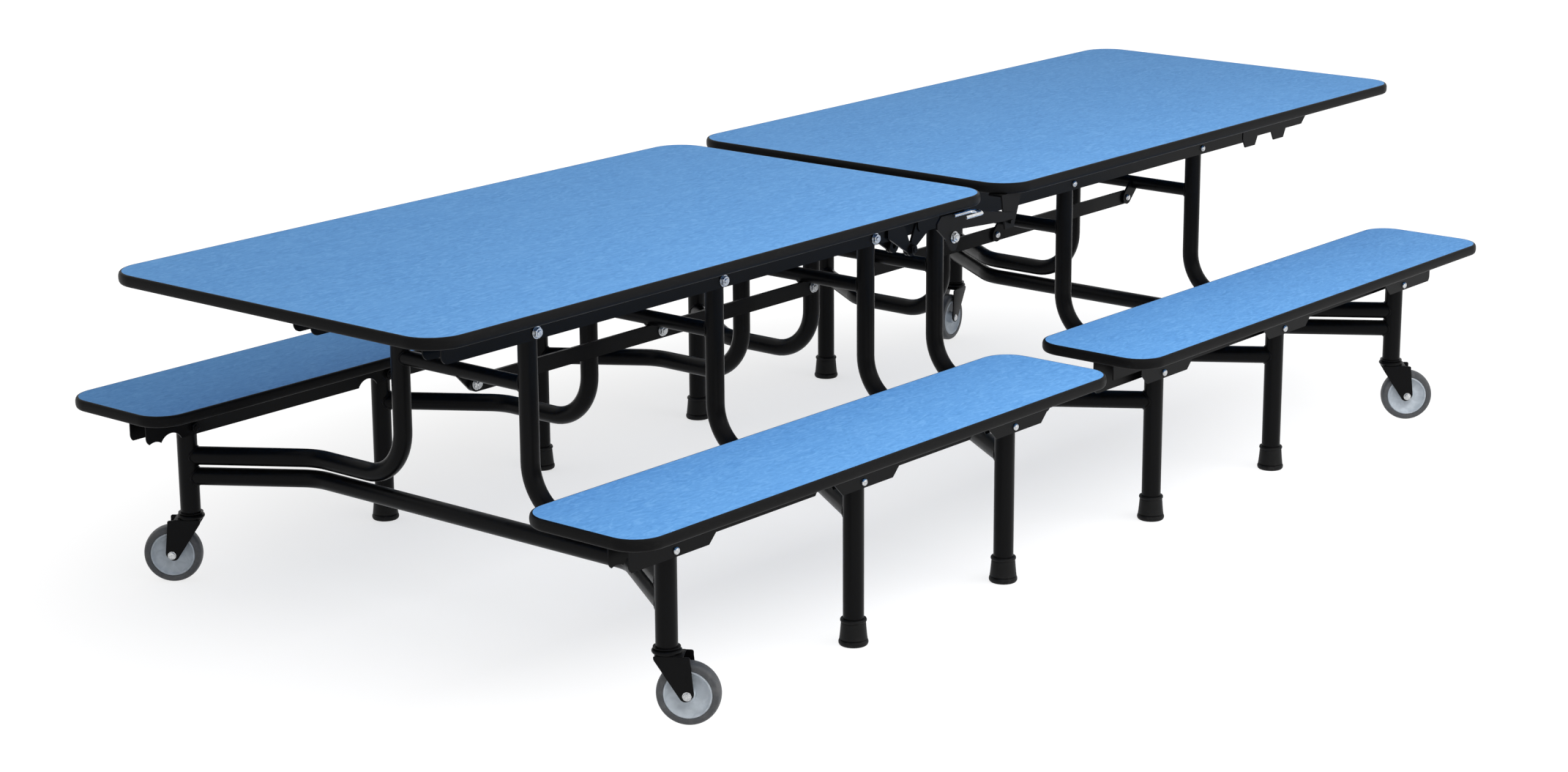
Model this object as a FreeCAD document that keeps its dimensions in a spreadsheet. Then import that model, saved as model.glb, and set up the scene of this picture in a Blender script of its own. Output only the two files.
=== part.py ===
# Mobile folding table with four benches. Millimetres, +Z up.
# The origin is on the floor below the middle of the table; +X runs along it and the near side is -Y.
# Six upright frames carry two table halves and four benches. Each half swings on three frames and is a
# parallelogram, so the frames stay upright while the middle rises and the two ends roll together.
# Every piece is drawn for the left half. The right half is the same half turned half round about Z.
import FreeCAD, Part
import Sketcher
import math
import os

Vector = FreeCAD.Vector
UP = Vector(0, 0, 1)
ALONG_Y = Vector(0, 1, 0)

SIZES = {
    # table halves
    "topHeight": 686,
    "topLength": 1499,
    "topWidth": 813,
    "topCorner": 70,
    "topGap": 50,
    "boardThick": 21,
    "edgeBand": 6,
    "edgeRound": 5,
    # benches
    "benchHeight": 381,
    "benchLength": 1342,
    "benchWidth": 273,
    "benchCorner": 60,
    "benchInner": 48,
    "benchOffset": 578,
    # channel rails
    "railWidth": 47,
    "railWall": 2.5,
    "railEndRound": 16,
    "tableRailDepth": 101,
    "tableRailBeyond": 230,
    "benchRailDepth": 70,
    "benchRailBeyond": 114,
    "benchRailInward": 178,
    "flangeDepth": 34,
    "plateDepth": 66,
    "plateLong": 105,
    "plateShort": 80,
    "plateCorner": 22,
    # frames
    "innerStation": 112,
    "midStation": 564,
    "endStation": 1060,
    "benchOutset": 138,
    "postShift": 20,
    "postOffset": 160,
    "postDiameter": 38,
    "legDiameter": 35,
    "lowDiameter": 34,
    "crossDiameter": 28,
    "tubeWall": 2,
    "tableDrop": 88,
    "crossDrop": 98,
    "benchDrop": 55,
    "legDrop": 60,
    "lowDrop": 40,
    "elbowOffset": 394,
    "elbowBend": 90,
    "legBend": 95,
    "postAbove": 22,
    "foldLimit": 78,
    # bolts and fits
    "boltDiameter": 10,
    "nutAcross": 17,
    "nutHeight": 6.5,
    "threadEnd": 2,
    "headDiameter": 15,
    "headHeight": 5,
    "headRound": 3,
    "runClearance": 0.08,
    "openClearance": 0.6,
    "faceClearance": 0.4,
    "notchClearance": 6.5,
    # centre hinge
    "hingeDrop": 128,
    "earThick": 5,
    "earRise": 108,
    "earHeel": 35,
    "earSlope": 60,
    "eyeRadius": 14,
    # tie bars
    "tieWidth": 30,
    "tieThick": 6,
    "tieForward": 30,
    "tieDrop": 30,
    "lugThick": 5,
    # rubber feet
    "footTop": 45,
    "footBottom": 54,
    "footHeight": 50,
    "footSole": 8,
    "footLip": 1.5,
    "footGrip": 0.1,
    # casters
    "wheelDiameter": 110,
    "wheelWidth": 30,
    "tyreThick": 13,
    "tyreRound": 7,
    "trail": 36,
    "casterTop": 136,
    "crownTop": 124,
    "crownFront": 20,
    "crownBack": 42,
    "crownSkirt": 7,
    "forkGap": 36,
    "forkWall": 3,
    "forkEnd": 12,
    "forkFront": 42,
    "forkRear": 8,
    "hubBoss": 26,
    "hubWeb": 9,
    "hubRound": 3,
    "hubInset": 1,
    "axleDiameter": 8,
    "axleHead": 13,
    "axleDome": 4,
    "raceDiameter": 52,
    "stemDiameter": 12,
    "stemLength": 28,
    "stemHole": 30,
    "plugHeight": 36,
    "swivelNearLeft": -58,
    "swivelFarLeft": 130,
    "swivelNearRight": -52,
    "swivelFarRight": 190,
    # centre latch
    "latchInset": 20.5,
    "latchPlate": 4,
    "latchReach": 130,
    "latchDrop": 54,
    "latchFlange": 30,
    "latchHead": 14,
    "latchFoot": 40,
    "strikeReach": 55,
    "strikeDrop": 55,
    "strikeFoot": 26,
    "strikePin": 8,
    "leverTop": 46,
    "leverTail": 26,
    "leverBack": 53,
    "leverFront": 64,
    "leverNeck": 6,
    "leverCorner": 12,
    "hookNose": 12,
    "handleRod": 7,
    "handleSpread": 28,
    "handleBend": 13.9,
    "handleStart": 136,
    "handleEnd": 76,
    "handleDrop": 11,
    # outer brackets
    "stowEdge": 126.5,
    "stowPlate": 3,
    "stowInset": 179,
    "stowLength": 275,
    "stowDepth": 59,
    "stowCorner": 30,
    "stowLobe": 19,
    "stowLobeWidth": 60,
    "stowLobeSlant": 10,
    "stowLobeSpace": 118,
}

doc = FreeCAD.newDocument("FoldingTable")
sheet = doc.addObject("Spreadsheet::Sheet", "Sizes")
for row, (alias, number) in enumerate(SIZES.items(), start=1):
    sheet.set("A%d" % row, alias)
    sheet.set("B%d" % row, str(number))
    sheet.setAlias("B%d" % row, alias)
doc.recompute()


class Size:
    """A length worked out from the sheet: its number, and the expression that binds it."""

    def __init__(self, number, text):
        self.number = number
        self.text = text

    def __add__(self, other):
        other = asSize(other)
        return Size(self.number + other.number, "(%s + %s)" % (self.text, other.text))

    def __sub__(self, other):
        other = asSize(other)
        return Size(self.number - other.number, "(%s - %s)" % (self.text, other.text))

    def __mul__(self, other):
        other = asSize(other)
        return Size(self.number * other.number, "(%s * %s)" % (self.text, other.text))

    def __truediv__(self, other):
        other = asSize(other)
        return Size(self.number / other.number, "(%s / %s)" % (self.text, other.text))

    def __neg__(self):
        return Size(-self.number, "(-1 * %s)" % self.text)

    __radd__ = __add__
    __rmul__ = __mul__

    def __rsub__(self, other):
        return asSize(other) - self


def asSize(value):
    return value if isinstance(value, Size) else Size(value, "(%g)" % value)


def size(alias):
    return Size(float(sheet.get(alias)), "Sizes." + alias)


def number(alias):
    return size(alias).number


def sine(angle):
    return Size(math.sin(math.radians(angle.number)), "sin(%s * 1deg)" % angle.text)


def cosine(angle):
    return Size(math.cos(math.radians(angle.number)), "cos(%s * 1deg)" % angle.text)


def hypotenuse(a, b):
    return Size(math.hypot(a.number, b.number), "sqrt(%s + %s)" % ((a * a).text, (b * b).text))


# ---- places that several pieces share; the left half's x is negative ----
underTop = size("topHeight") - size("boardThick")
underBench = size("benchHeight") - size("boardThick")
tablePivot = underTop - size("tableDrop")
hingeHeight = underTop - size("hingeDrop")
crossHeight = tablePivot - size("crossDrop")
tieHeight = crossHeight - size("tieDrop")
benchPivot = underBench - size("benchDrop")
legHeight = benchPivot - size("legDrop")
lowHeight = legHeight - size("lowDrop")
benchLine = size("benchOffset") + size("postShift")
latchLine = size("topWidth") / 2 - size("latchInset")
stations = {name: size(name + "Station") for name in ("end", "mid", "inner")}
boltRadius = size("boltDiameter") / 2
runHole = boltRadius + size("runClearance")
openHole = boltRadius + size("openClearance")
railInside = size("railWidth") - size("railWall") * 2
wheelRadius = size("wheelDiameter") / 2
hubRadius = wheelRadius - size("tyreThick")
raceTop = size("casterTop") - size("faceClearance")
forkOutside = size("forkGap") + size("forkWall") * 2
latchGap = size("latchPlate") + size("faceClearance")
HALVES = (("left", 1), ("right", -1))


# ---- drawing helpers ----
def newBody(label):
    body = doc.addObject("PartDesign::Body", label)
    body.Label = label
    return body


def put(obj, x, y, z, half=1, yaw=0):
    """Places obj by sizes of the left half; half = -1 turns the place half round about Z."""
    turn = yaw if half > 0 else yaw + 180
    obj.Placement = FreeCAD.Placement(Vector(), FreeCAD.Rotation(UP, turn))
    obj.setExpression("Placement.Base.x", (asSize(x) * half).text)
    obj.setExpression("Placement.Base.y", (asSize(y) * half).text)
    obj.setExpression("Placement.Base.z", asSize(z).text)


def sketchOn(body, plane, shift=None):
    sketch = body.newObject("Sketcher::SketchObject", "Sketch")
    support = [item for item in body.Origin.OriginFeatures if item.Role == plane][0]
    sketch.AttachmentSupport = [(support, "")]
    sketch.MapMode = "FlatFace"
    if shift is not None:
        sketch.setExpression("AttachmentOffset.Base.z", asSize(shift).text)
    return sketch


def fixPoint(sketch, geometry, point, x, y):
    """Ties one point of the sketch to the origin by two bound distances."""
    for kind, value in (("DistanceX", x), ("DistanceY", y)):
        index = sketch.addConstraint(Sketcher.Constraint(kind, -1, 1, geometry, point, value.number))
        sketch.setExpression("Constraints[%d]" % index, value.text)


def polygon(sketch, corners):
    """Draws a closed outline whose corners are pairs of sizes."""
    corners = [(asSize(x), asSize(y)) for x, y in corners]
    points = [Vector(x.number, y.number, 0) for x, y in corners]
    lines = [Part.LineSegment(a, b) for a, b in zip(points, points[1:] + points[:1])]
    first = sketch.GeometryCount
    sketch.addGeometry(lines, False)
    count = len(lines)
    for k in range(count):
        following = first + (k + 1) % count
        sketch.addConstraint(Sketcher.Constraint("Coincident", first + k, 2, following, 1))
    for k, (x, y) in enumerate(corners):
        fixPoint(sketch, first + k, 1, x, y)


def rectangle(sketch, x0, x1, y0, y1):
    polygon(sketch, [(x0, y0), (x1, y0), (x1, y1), (x0, y1)])


def roundedRectangle(sketch, halfX, halfY, radius):
    """A rectangle about the origin whose corners are arcs, drawn anticlockwise from the right side."""
    corners = []
    for signX, signY in ((1, 1), (-1, 1), (-1, -1), (1, -1)):
        flat = ((halfX - radius) * signX, halfY * signY)
        side = (halfX * signX, (halfY - radius) * signY)
        centre = (flat[0], side[1])
        start, end = (side, flat) if signX * signY > 0 else (flat, side)
        corners.append((start, end, centre))
    for k, (start, end, centre) in enumerate(corners):
        middle = [Vector(x.number, y.number, 0) for x, y in (start, end, centre)]
        begin = math.atan2(middle[0].y - middle[2].y, middle[0].x - middle[2].x)
        ring = Part.Circle(middle[2], UP, radius.number)
        sketch.addGeometry(Part.ArcOfCircle(ring, begin, begin + math.pi / 2), False)
        following = corners[(k + 1) % 4][0]
        target = Vector(following[0].number, following[1].number, 0)
        sketch.addGeometry(Part.LineSegment(middle[1], target), False)
    for k, (start, end, centre) in enumerate(corners):
        arc, line = 2 * k, 2 * k + 1
        sketch.addConstraint(Sketcher.Constraint("Coincident", arc, 2, line, 1))
        sketch.addConstraint(Sketcher.Constraint("Coincident", line, 2, (line + 1) % 8, 1))
        fixPoint(sketch, arc, 1, *start)
        fixPoint(sketch, line, 1, *end)
        index = sketch.addConstraint(Sketcher.Constraint("DistanceX", -1, 1, arc, 3, centre[0].number))
        sketch.setExpression("Constraints[%d]" % index, centre[0].text)


def circle(sketch, x, y, radius):
    x, y, radius = asSize(x), asSize(y), asSize(radius)
    ring = Part.Circle(Vector(x.number, y.number, 0), UP, radius.number)
    geometry = sketch.addGeometry(ring, False)
    fixPoint(sketch, geometry, 3, x, y)
    index = sketch.addConstraint(Sketcher.Constraint("Radius", geometry, radius.number))
    sketch.setExpression("Constraints[%d]" % index, radius.text)


def feature(body, kind, sketch, length, symmetric=True):
    """Adds a Pad or a Pocket of the sketch and sees that it changes the body's volume."""
    before = 0 if body.Tip is None else body.Shape.Volume
    made = body.newObject("PartDesign::" + kind, kind)
    made.Profile = sketch
    made.SideType = "Symmetric" if symmetric else "One side"
    made.setExpression("Length", asSize(length).text)
    doc.recompute()
    change = body.Shape.Volume - before
    if (kind == "Pad" and change <= 0) or (kind == "Pocket" and change >= 0):
        raise RuntimeError("%s: the %s changes nothing" % (body.Label, kind))
    return made


def revolve(body, sketch, axis):
    made = body.newObject("PartDesign::Revolution", "Revolution")
    made.Profile = sketch
    made.ReferenceAxis = (sketch, [axis])
    made.Angle = 360
    doc.recompute()
    return made


def fillet(body, base, radius, wanted):
    """Rounds the edges of base for which wanted(first point, last point, middle) is true."""
    names = []
    for index, edge in enumerate(base.Shape.Edges, start=1):
        ends = [edge.valueAt(edge.FirstParameter), edge.valueAt(edge.LastParameter)]
        middle = edge.valueAt((edge.FirstParameter + edge.LastParameter) / 2)
        if wanted(ends[0], ends[1], middle):
            names.append("Edge%d" % index)
    if not names:
        raise RuntimeError("%s: no edge to round" % body.Label)
    made = body.newObject("PartDesign::Fillet", "Fillet")
    made.Base = (base, names)
    made.setExpression("Radius", asSize(radius).text)
    doc.recompute()
    return made


def looseSet(label, pieces):
    """One node that holds separate solids; pieces are pairs of a source and the place of its copy."""
    node = doc.addObject("Part::Feature", label)
    node.Label = label
    solids = []
    for source, place in pieces:
        solid = source.Shape.copy()
        solid.Placement = place
        solids.append(solid)
    node.Shape = Part.makeCompound(solids)


def turnedHalf(half):
    return FreeCAD.Placement(Vector(), FreeCAD.Rotation(UP, 0 if half > 0 else 180))


def at(x, y, z, yaw=0):
    return FreeCAD.Placement(Vector(x, y, z), FreeCAD.Rotation(UP, yaw))


# ---- boards ----
def board(label, length, width, corner):
    """The laminated board that lies inside its edge band."""
    body = newBody(label)
    band = size("edgeBand")
    sketch = sketchOn(body, "XY_Plane")
    roundedRectangle(sketch, length / 2 - band, width / 2 - band, corner - band)
    feature(body, "Pad", sketch, size("boardThick"))
    return body


def edgeRing(label, length, width, corner):
    """The bullnose band around a board, rounded at its top and its bottom."""
    body = newBody(label)
    band = size("edgeBand")
    outline = sketchOn(body, "XY_Plane")
    roundedRectangle(outline, length / 2, width / 2, corner)
    slab = feature(body, "Pad", outline, size("boardThick"))
    halfThick = size("boardThick").number / 2
    fillet(body, slab, size("edgeRound"), lambda a, b, m: abs(abs(m.z) - halfThick) < 1e-6)
    inside = sketchOn(body, "XY_Plane")
    roundedRectangle(inside, length / 2 - band, width / 2 - band, corner - band)
    feature(body, "Pocket", inside, size("boardThick") * 2)
    return body


# ---- rails ----
def channel(body, start, end, depth):
    """An inverted channel along X from start to end; its top is at z = 0."""
    sketch = sketchOn(body, "XZ_Plane")
    rectangle(sketch, start, end, -depth, 0)
    bar = feature(body, "Pad", sketch, size("railWidth"))
    bottom = -depth.number

    def lowerCorner(first, last, middle):
        return abs(middle.z - bottom) < 1e-6 and abs(first.x - last.x) < 1e-6

    fillet(body, bar, size("railEndRound"), lowerCorner)
    hollow = sketchOn(body, "XZ_Plane")
    wall = size("railWall")
    rectangle(hollow, start - wall, end + wall, -depth - wall, -wall)
    feature(body, "Pocket", hollow, railInside)


def drill(body, holes, length):
    """Bolt holes along Y through the body: (x, z, radius) each."""
    sketch = sketchOn(body, "XZ_Plane")
    for x, z, radius in holes:
        circle(sketch, x, z, radius)
    feature(body, "Pocket", sketch, length)


def notchFlange(body, places, side):
    """Round notches in the flange on one side, where a frame's tube lies when folded."""
    wall = size("railWall")
    flange = (size("railWidth") / 2 - wall / 2) * side
    for x, z, radius in places:
        sketch = sketchOn(body, "XZ_Plane", flange)
        circle(sketch, x, z, radius)
        feature(body, "Pocket", sketch, wall * 2)


def foldedPlace(forward, drop):
    """Where a frame's point, forward of a pivot and drop below it, lies on the folded rail."""
    limit = size("foldLimit")
    along = forward * cosine(limit) - drop * sine(limit)
    below = -forward * sine(limit) - drop * cosine(limit)
    return along, below


def hingeEar(body, side, shift):
    """A plate that carries the centre hinge's eye, 'shift' off the rail's middle plane.

    Its root ends short of the circle that the inner post's upper end sweeps about its pivot.
    """
    eye = -size("hingeDrop")
    sweep = hypotenuse(size("postAbove"), size("legDiameter") / 2) + size("notchClearance")
    root = sweep - size("innerStation")
    rise = size("earRise")
    inEye = size("eyeRadius") - size("railWall")
    beside = -inEye * cosine(size("earSlope"))
    above = inEye * sine(size("earSlope"))
    sketch = sketchOn(body, "XZ_Plane", shift * side)
    polygon(sketch, [(root, eye + rise), (root, eye + size("earHeel")), (beside, eye - above),
                     (0, eye), (beside, eye + above), (-size("topGap"), eye + rise)])
    feature(body, "Pad", sketch, size("earThick"))
    eyeSketch = sketchOn(body, "XZ_Plane", shift * side)
    circle(eyeSketch, 0, eye, size("eyeRadius"))
    feature(body, "Pad", eyeSketch, size("earThick"))


def tableRail(label, half):
    """One rail of a table half with its two hinge ears, drawn for the near side of the left half."""
    body = newBody(label)
    start = -stations["end"] - size("tableRailBeyond")
    channel(body, start, -size("topGap") / 2, size("tableRailDepth"))
    outside = size("railWidth") / 2 + size("earThick") / 2
    inside = size("railWidth") / 2 - size("railWall") - size("earThick") / 2
    for side in (-1, 1):
        hingeEar(body, side, outside if half > 0 else inside)
    pivot = -size("tableDrop")
    along, below = foldedPlace(asSize(0), size("crossDrop"))
    radius = size("crossDiameter") / 2 + size("notchClearance")
    notchFlange(body, [(along - x, pivot + below, radius) for x in stations.values()], -1)
    holes = [(-x, pivot, runHole) for x in stations.values()]
    holes.append((0, -size("hingeDrop"), runHole))
    drill(body, holes, size("railWidth") + size("earThick") * 3)
    return body


def tableRails(name, half):
    """The near rail and its mirror image on the far side."""
    near = tableRail(name + "_near_rail", half)
    put(near, 0, -size("postOffset"), underTop)
    far = doc.addObject("Part::Mirroring", name + "_far_rail")
    far.Source = near
    far.Normal = ALONG_Y
    pair = doc.addObject("Part::Compound", name + "_rails")
    pair.Label = name + "_rails"
    pair.Links = [near, far]
    pair.Placement = turnedHalf(half)
    return pair


def trimFlange(body, places, start, end, side):
    """Cuts the flange on one side shallow, but leaves a plate with cut corners at each place."""
    wall = size("railWall")
    low = -size("plateDepth")
    high = -size("flangeDepth")
    below = -size("benchRailDepth") - wall
    corner = size("plateCorner")
    before, after = ("plateShort", "plateLong") if side > 0 else ("plateLong", "plateShort")
    edge = []
    for x in places:
        left = x - size(before)
        right = x + size(after)
        edge += [(left, high), (left, low + corner), (left + corner, low), (right - corner, low),
                 (right, low + corner), (right, high)]
    edge[:2] = [(start - wall, low)]
    edge.append((end + wall, high))
    flange = (size("railWidth") / 2 - wall / 2) * side
    sketch = sketchOn(body, "XZ_Plane", flange)
    polygon(sketch, [(start - wall, below)] + edge + [(end + wall, below)])
    feature(body, "Pocket", sketch, wall * 2)


def benchRail(label, side):
    """A bench's rail. side is +1 when the table lies toward +Y of it, for the left half."""
    body = newBody(label)
    posts = {name: x + size("benchOutset") for name, x in stations.items()}
    start = -posts["end"] - size("benchRailBeyond")
    end = -posts["inner"] + size("benchRailInward")
    channel(body, start, end, size("benchRailDepth"))
    trimFlange(body, [-x for x in posts.values()], start, end, side)
    pivot = -size("benchDrop")
    inward = benchLine - size("elbowOffset")
    slant = hypotenuse(size("benchOutset"), inward) / inward
    forward = size("railWidth") / 2 * size("benchOutset") / inward

    def notch(post, drop, diameter):
        """The place and radius of a notch for a tube that crosses the flange at a slant."""
        along, below = foldedPlace(forward, drop)
        return along - post, pivot + below, diameter / 2 * slant + size("notchClearance")

    notches = [notch(x, size("legDrop"), size("legDiameter")) for x in posts.values()]
    notches.append(notch(posts["end"], size("legDrop") + size("lowDrop"), size("lowDiameter")))
    notchFlange(body, notches, -side)
    holes = [(-x, pivot, runHole if name == "end" else openHole) for name, x in posts.items()]
    drill(body, holes, size("railWidth") * 2)
    return body


# ---- fasteners ----
def hexagon(sketch, across):
    corner = across / 3 ** 0.5
    flat = across / 2
    polygon(sketch, [(corner, 0), (corner / 2, flat), (-corner / 2, flat),
                     (-corner, 0), (-corner / 2, -flat), (corner / 2, -flat)])


def bolt(label, grip):
    """A bolt along Y, its nut toward -Y and its round head toward +Y, with 'grip' between them."""
    body = newBody(label)
    head = sketchOn(body, "XZ_Plane", -grip / 2)
    circle(head, 0, 0, size("headDiameter") / 2)
    knob = feature(body, "Pad", head, -size("headHeight"), False)
    face = (grip / 2).number + number("headHeight")
    fillet(body, knob, size("headRound"), lambda a, b, m: abs(m.y - face) < 1e-6)
    shank = sketchOn(body, "XZ_Plane", -grip / 2)
    circle(shank, 0, 0, boltRadius)
    feature(body, "Pad", shank, grip + size("nutHeight") + size("threadEnd"), False)
    nut = sketchOn(body, "XZ_Plane", grip / 2)
    hexagon(nut, size("nutAcross"))
    feature(body, "Pad", nut, size("nutHeight"), False)
    return body


# ---- frames ----
def tube(points, bends, radius):
    """A round bar along straight runs with tangent arcs; bends holds a radius for each inner point."""
    edges = []
    start = points[0]
    for before, corner, after, bend in zip(points, points[1:], points[2:], bends):
        incoming = (before - corner).normalize()
        outgoing = (after - corner).normalize()
        opening = incoming.getAngle(outgoing)
        back = bend / math.tan(opening / 2)
        first = corner + incoming * back
        last = corner + outgoing * back
        bisector = (incoming + outgoing).normalize()
        centre = corner + bisector * (bend / math.sin(opening / 2))
        middle = centre - bisector * bend
        edges.append(Part.LineSegment(start, first).toShape())
        edges.append(Part.Arc(first, middle, last).toShape())
        start = last
    edges.append(Part.LineSegment(start, points[-1]).toShape())
    direction = points[1] - points[0]
    section = Part.Face(Part.Wire(Part.makeCircle(radius, points[0], direction)))
    return Part.Wire(edges).makePipe(section)


def legRoute(station, side, top):
    """The bent leg's line: out of the bench post, through the elbow, and up as the table post."""
    height = legHeight.number
    return [
        Vector(-station - number("benchOutset"), side * benchLine.number, height),
        Vector(-station, side * number("elbowOffset"), height),
        Vector(-station, side * number("postOffset"), height),
        Vector(-station, side * number("postOffset"), top),
    ]


def lowRoute(station):
    """The end frames' low tube: from bench post to bench post with the legs' elbows."""
    height = lowHeight.number
    far = Vector(-station - number("benchOutset"), benchLine.number, height)
    farElbow = Vector(-station, number("elbowOffset"), height)
    nearElbow = Vector(-station, -number("elbowOffset"), height)
    near = Vector(far.x, -far.y, height)
    return [near, nearElbow, farElbow, far]


def tieLug(station):
    """The plate on the cross tube that carries the tie bar's bolt."""
    gap = number("tieThick") / 2 + number("faceClearance")
    thick = number("lugThick")
    width = number("tieWidth")
    top = Vector(-station, gap, crossHeight.number)
    pivot = Vector(-station + number("tieForward"), gap, tieHeight.number)
    length = (pivot - top).Length
    web = Part.makeBox(width, thick, length, Vector(-width / 2, 0, -length))
    angle = math.degrees(math.atan2(number("tieForward"), number("tieDrop")))
    web.Placement = FreeCAD.Placement(top, FreeCAD.Rotation(ALONG_Y, -angle))
    eye = Part.makeCylinder(width / 2, thick, pivot, ALONG_Y)
    return web.fuse(eye)


def frameTubes(station, foot, inset):
    """All tubes of one frame as solid bars, their surfaces 'inset' inside the real ones."""
    postTop = number("postAbove") - inset
    benchX = -station - number("benchOutset")
    bars = []
    for side in (-1, 1):
        base = Vector(benchX, side * benchLine.number, foot)
        height = benchPivot.number + postTop - foot
        bars.append(Part.makeCylinder(number("postDiameter") / 2 - inset, height, base, UP))
        route = legRoute(station, side, tablePivot.number + postTop)
        bends = [number("elbowBend"), number("legBend")]
        bars.append(tube(route, bends, number("legDiameter") / 2 - inset))
    reach = number("postOffset")
    base = Vector(-station, -reach, crossHeight.number)
    bars.append(Part.makeCylinder(number("crossDiameter") / 2 - inset, reach * 2, base, ALONG_Y))
    return bars


def frame(label, name, half):
    """One welded frame of hollow tubes, with its bolt holes and the tie bar's lug."""
    station = stations[name].number
    onCasters = name == "end"
    foot = number("casterTop") if onCasters else number("footSole")
    wall = number("tubeWall")
    outer = frameTubes(station, foot, 0)
    bores = frameTubes(station, foot, wall)
    if onCasters:
        bends = [number("elbowBend"), number("elbowBend")]
        outer.append(tube(lowRoute(station), bends, number("lowDiameter") / 2))
        bores.append(tube(lowRoute(station), bends, number("lowDiameter") / 2 - wall))
    shape = outer[0].multiFuse(outer[1:]).cut(bores[0].multiFuse(bores[1:]))
    benchX = -station - number("benchOutset")
    added = [tieLug(station)]
    if onCasters:
        for side in (-1, 1):
            base = Vector(benchX, side * benchLine.number, foot)
            plug = Part.makeCylinder(number("postDiameter") / 2 - wall, number("plugHeight"), base, UP)
            added.append(plug)
    shape = shape.multiFuse(added).removeSplitter()
    cuts = []
    for side in (-1, 1):
        for x, y, z in ((-station, number("postOffset"), tablePivot.number),
                        (benchX, benchLine.number, benchPivot.number)):
            start = Vector(x, side * y - number("railWidth"), z)
            cuts.append(Part.makeCylinder(runHole.number, number("railWidth") * 2, start, ALONG_Y))
        if onCasters:
            base = Vector(benchX, side * benchLine.number, raceTop.number)
            stem = number("stemDiameter") / 2 + number("runClearance")
            cuts.append(Part.makeCylinder(stem, number("stemHole"), base, UP))
    tie = Vector(-station + number("tieForward"), 0, tieHeight.number)
    cuts.append(Part.makeCylinder(runHole.number, number("railWidth"), tie, ALONG_Y))
    weldment = doc.addObject("Part::Feature", label)
    weldment.Label = label
    weldment.Shape = shape.cut(cuts[0].multiFuse(cuts[1:]))
    weldment.Placement = turnedHalf(half)
    return weldment


def frameBolts(label, name, half, longBolt, shortBolt):
    """The pivot bolts of one frame and its tie bar bolt; the bench bolts' heads face outward."""
    station = stations[name].number
    benchX = -station - number("benchOutset")
    turn = turnedHalf(half)
    pieces = []
    for side in (-1, 1):
        table = at(-station, side * number("postOffset"), tablePivot.number)
        bench = at(benchX, side * benchLine.number, benchPivot.number, 0 if side > 0 else 180)
        pieces += [(longBolt, turn.multiply(place)) for place in (table, bench)]
    middle = number("faceClearance") / 2 + number("lugThick") / 2
    tie = at(-station + number("tieForward"), middle, tieHeight.number)
    pieces.append((shortBolt, turn.multiply(tie)))
    looseSet(label, pieces)


def foot(label):
    """A flared rubber ferrule with a rim, around the end of a bench post."""
    body = newBody(label)
    rim = size("footBottom") / 2
    neck = size("footTop") / 2
    hole = size("postDiameter") / 2 + size("footGrip")
    height = size("footHeight")
    sole = size("footSole")
    lip = size("footLip")
    sketch = sketchOn(body, "XZ_Plane")
    polygon(sketch, [(0, 0), (rim, 0), (rim, sole / 2), (rim - lip * 2, sole + sole / 2),
                     (neck, height - sole), (neck + lip, height - sole / 2), (neck + lip, height),
                     (hole, height), (hole, sole), (0, sole)])
    revolve(body, sketch, "V_Axis")
    return body


# ---- tie bars ----
def tieBar(label, half):
    body = newBody(label)
    first = -stations["end"] + size("tieForward")
    last = -stations["inner"] + size("tieForward")
    width = size("tieWidth")
    sketch = sketchOn(body, "XZ_Plane")
    rectangle(sketch, first, last, -width / 2, width / 2)
    feature(body, "Pad", sketch, size("tieThick"))
    for x in (first, last):
        end = sketchOn(body, "XZ_Plane")
        circle(end, x, 0, width / 2)
        feature(body, "Pad", end, size("tieThick"))
    holes = []
    for name, x in stations.items():
        holes.append((-x + size("tieForward"), asSize(0), runHole if name == "end" else openHole))
    drill(body, holes, size("tieThick") * 3)
    put(body, 0, 0, tieHeight, half)
    return body


# ---- casters: drawn round the swivel axis, the wheel behind it on +X ----
def fork(label):
    """The fork: two cheeks and a crown, the swivel race and the stem."""
    body = newBody(label)
    trail = size("trail")
    top = size("crownTop")
    end = size("forkEnd")
    front = (trail - end * cosine(size("forkFront")), wheelRadius - end * sine(size("forkFront")))
    rear = (trail + end * cosine(size("forkRear")), wheelRadius + end * sine(size("forkRear")))
    sketch = sketchOn(body, "XZ_Plane")
    polygon(sketch, [(-size("crownFront"), top), (-size("crownFront"), top - size("crownSkirt")),
                     front, rear, (size("crownBack"), top - size("crownSkirt")),
                     (size("crownBack"), top)])
    feature(body, "Pad", sketch, forkOutside)
    roundEnd = sketchOn(body, "XZ_Plane")
    circle(roundEnd, trail, wheelRadius, end)
    feature(body, "Pad", roundEnd, forkOutside)
    gap = sketchOn(body, "XZ_Plane")
    rectangle(gap, -trail * 2, trail * 4, 0, top - size("forkWall"))
    feature(body, "Pocket", gap, size("forkGap"))
    drill(body, [(trail, wheelRadius, size("axleDiameter") / 2 + size("runClearance"))],
          forkOutside * 2)
    race = sketchOn(body, "XY_Plane", top)
    circle(race, 0, 0, size("raceDiameter") / 2)
    feature(body, "Pad", race, raceTop - top, False)
    stem = sketchOn(body, "XY_Plane", raceTop)
    circle(stem, 0, 0, size("stemDiameter") / 2)
    feature(body, "Pad", stem, size("stemLength"), False)
    return body


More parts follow.
